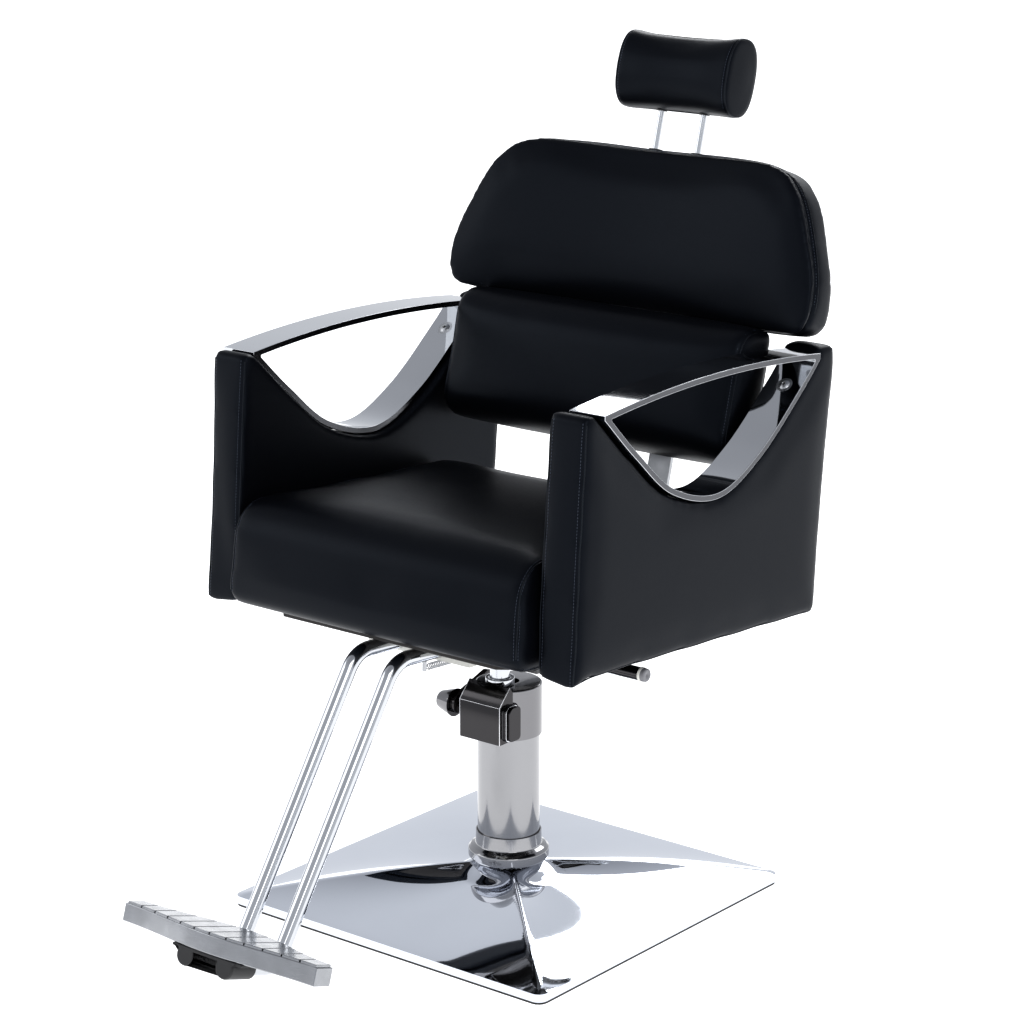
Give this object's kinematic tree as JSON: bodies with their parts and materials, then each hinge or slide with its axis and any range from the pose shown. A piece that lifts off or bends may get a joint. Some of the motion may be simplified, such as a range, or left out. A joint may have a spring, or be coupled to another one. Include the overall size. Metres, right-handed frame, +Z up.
{
  "type": "hydraulic barber chair",
  "caption": "Upholstered barber chair on a square chromed base with a hydraulic pump, open chrome arm loops, a reclining back, a sliding footrest and a height-adjustable headrest.",
  "frame": {"origin": "on the floor, on the axis of the pump column", "axes": "+Z up the column, -Y the way the sitter faces, +X to the sitter's left"},
  "size_m": [0.652, 1.0565, 1.1759],
  "materials": {
    "polished_chrome": "polished chrome plate",
    "bright_steel": "plain zinc-plated steel",
    "black_steel": "glossy black enamel",
    "black_leather": "fine-grained black upholstery with stitched seams",
    "plywood": "black-stained plywood",
    "black_plastic": "moulded black nylon",
    "black_rubber": "ribbed black rubber",
    "pale_nylon": "natural nylon",
    "cast_aluminium": "satin-polished casting"
  },
  "bodies": {
    "base": {"base_plate": "polished_chrome", "floor_gasket": "black_rubber", "pump_socket": "bright_steel", "base_collar": "polished_chrome", "thrust_washer": "pale_nylon"},
    "pump": {"pump_spigot": "bright_steel", "column_tube": "polished_chrome", "pump_cylinder": "bright_steel", "pump_head": "black_steel", "wiper_ring": "polished_chrome", "valve_box": "black_steel"},
    "pedal": {"pedal_rocker": "black_steel", "pedal_knob": "black_steel", "pedal_arm": "polished_chrome", "pedal_tread": "black_rubber"},
    "plunger": {"pump_plunger": "bright_steel"},
    "seat": {"ram": "polished_chrome", "seat_hub": "bright_steel", "seat_subframe": "black_steel", "seat_board": "plywood", "seat_cushion": "black_leather", "tube_guide_front": "pale_nylon", "tube_guide_rear": "pale_nylon", "recline_pivot": "bright_steel", "arm_ring_left": "polished_chrome", "arm_ring_right": "polished_chrome", "arm_panel_left": "black_leather", "arm_panel_right": "black_leather", "ring_screw_left": "bright_steel", "ring_screw_right": "bright_steel", "lever_pin": "bright_steel", "strut_cylinder": "black_steel", "spring_anchor": "bright_steel", "return_spring": "bright_steel", "release_cable": "black_plastic"},
    "lever": {"recline_lever": "black_steel", "lever_cap": "black_plastic"},
    "back": {"recline_crank": "black_steel", "back_bar_left": "bright_steel", "back_bar_right": "bright_steel", "lumbar_cushion": "black_leather", "lumbar_board": "plywood", "back_cushion": "black_leather", "back_board": "plywood", "back_cover": "black_leather", "headrest_sleeve_left": "black_plastic", "headrest_sleeve_right": "black_plastic"},
    "link": {"footrest_link": "bright_steel"},
    "strut_rod": {"strut_rod": "polished_chrome"},
    "headrest": {"headrest_post_left": "polished_chrome", "headrest_post_right": "polished_chrome", "headrest_pad": "black_leather", "headrest_grommet_left": "black_plastic", "headrest_grommet_right": "black_plastic"},
    "footrest": {"footrest_tube_left": "polished_chrome", "footrest_tube_right": "polished_chrome", "footrest_cross_tube": "bright_steel", "spring_bolt": "bright_steel", "footplate": "cast_aluminium", "footplate_clamp": "black_plastic"}
  },
  "joints": [
    {"name": "pump_swivel", "type": "hinge", "parent": "base", "child": "pump", "pos_m": [0, 0, 0], "axis": [0, 0, 1], "continuous": true},
    {"name": "pedal_press", "type": "hinge", "parent": "pump", "child": "pedal", "pos_m": [-0.05, 0.0155, 0.3], "axis": [-1, 0, 0], "range_deg": [0, 18], "stiffness_Nm_per_rad": 6, "springref_deg": -20.05},
    {"name": "plunger_stroke", "type": "slide", "parent": "pump", "child": "plunger", "axis": [0, 0, 1], "range_m": [0, 0.018]},
    {"name": "seat_lift", "type": "slide", "parent": "pump", "child": "seat", "axis": [0, 0, 1], "range_m": [0, 0.15]},
    {"name": "recline", "type": "hinge", "parent": "seat", "child": "back", "pos_m": [0, 0.19, 0.43], "axis": [-1, 0, 0], "range_deg": [0, 35]},
    {"name": "strut_stroke", "type": "slide", "parent": "seat", "child": "strut_rod", "axis": [0, -0.9981, 0.0619], "range_m": [0, 0.0452]},
    {"name": "footrest_slide", "type": "slide", "parent": "seat", "child": "footrest", "axis": [0, -0.9981, 0.0619], "range_m": [0, 0.0452], "deforming": ["return_spring"]},
    {"name": "link_swing", "type": "hinge", "parent": "back", "child": "link", "pos_m": [0, 0.20808, 0.35721], "axis": [-1, 0, 0], "range_deg": [-35, 0]},
    {"name": "lever_lift", "type": "hinge", "parent": "seat", "child": "lever", "pos_m": [0.135, -0.092, 0.4105], "axis": [0, -0.9981, 0.0619], "range_deg": [0, 2], "stiffness_Nm_per_rad": 4, "springref_deg": -8.59},
    {"name": "headrest_slide", "type": "slide", "parent": "back", "child": "headrest", "axis": [0, 0.2588, 0.9659], "range_m": [-0.05, 0.045]}
  ],
  "couplings": [
    {"joint": "plunger_stroke", "follows": "pedal_press", "m_per_rad": 0.055},
    {"joint": "strut_stroke", "follows": "recline", "m_per_rad": 0.0738},
    {"joint": "footrest_slide", "follows": "recline", "m_per_rad": 0.0738},
    {"joint": "link_swing", "follows": "recline", "ratio": -1}
  ]
}
